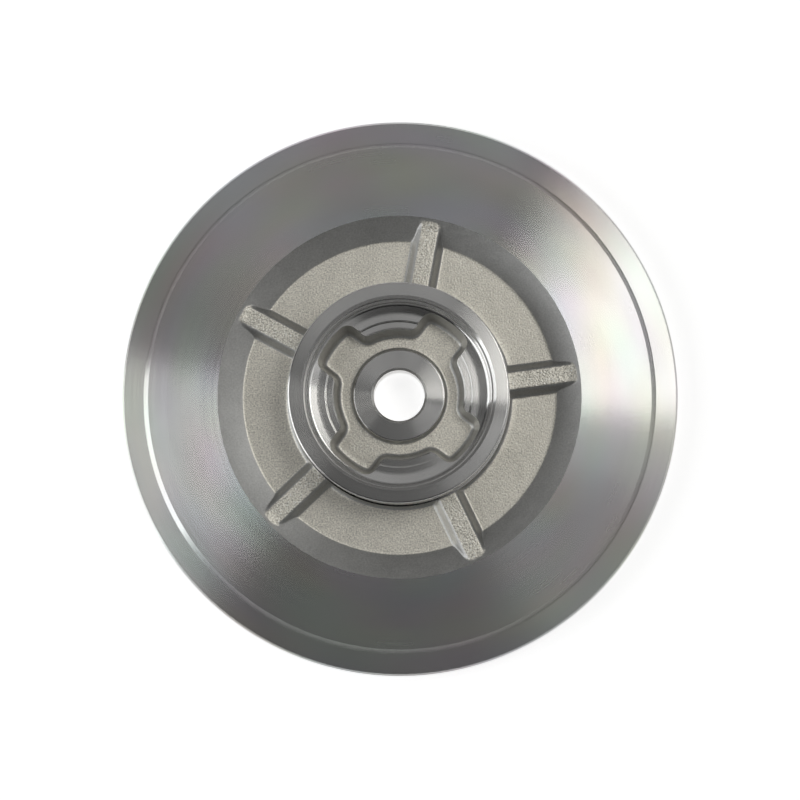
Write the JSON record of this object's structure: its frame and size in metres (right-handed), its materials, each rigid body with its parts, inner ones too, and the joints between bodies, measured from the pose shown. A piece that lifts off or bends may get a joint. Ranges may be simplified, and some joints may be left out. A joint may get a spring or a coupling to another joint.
{
  "type": "turbocharger compressor back plate",
  "caption": "Round cast and turned plate that closes the back of a compressor housing, with a raised register ring, a ribbed pocket and a central seal bore.",
  "frame": {"origin": "centre of the flat wheel-side face, on the axis of the seal bore", "axes": "+Z along the bore axis, from the wheel side towards the bearing housing; +X and +Y in the plane of the plate"},
  "size_m": [0.17, 0.17, 0.025],
  "materials": {
    "cast_aluminium": "faces turned bright, pockets left as cast"
  },
  "bodies": {
    "root": {"back_plate": "cast_aluminium"}
  },
  "joints": []
}
